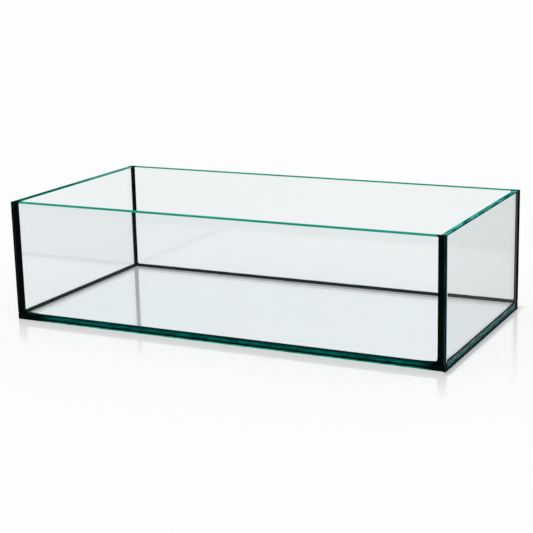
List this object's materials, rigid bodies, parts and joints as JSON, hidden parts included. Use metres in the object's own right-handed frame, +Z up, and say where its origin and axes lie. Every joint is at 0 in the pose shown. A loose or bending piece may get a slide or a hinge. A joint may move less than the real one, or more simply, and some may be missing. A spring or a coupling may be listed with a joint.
{
  "type": "aquarium",
  "caption": "Low open-topped rimless glass tank with butt-jointed panes glued by black silicone bonds and inner seals.",
  "frame": {"origin": "centre of the footprint, on the surface that the tank stands on", "axes": "+X along the length, to the right as seen from the front; +Y to the back; +Z up"},
  "size_m": [0.6, 0.3, 0.16],
  "materials": {
    "glass": "clear polished float glass, teal at the edges",
    "silicone": "black silicone, satin, tooled by hand"
  },
  "bodies": {
    "root": {"base_pane": "glass", "front_pane": "glass", "back_pane": "glass", "left_pane": "glass", "right_pane": "glass", "front_left_bond": "silicone", "front_right_bond": "silicone", "back_left_bond": "silicone", "back_right_bond": "silicone", "front_base_bond": "silicone", "back_base_bond": "silicone", "left_base_bond": "silicone", "right_base_bond": "silicone", "front_left_seal": "silicone", "front_right_seal": "silicone", "back_left_seal": "silicone", "back_right_seal": "silicone", "front_base_seal": "silicone", "back_base_seal": "silicone", "left_base_seal": "silicone", "right_base_seal": "silicone"}
  },
  "joints": []
}
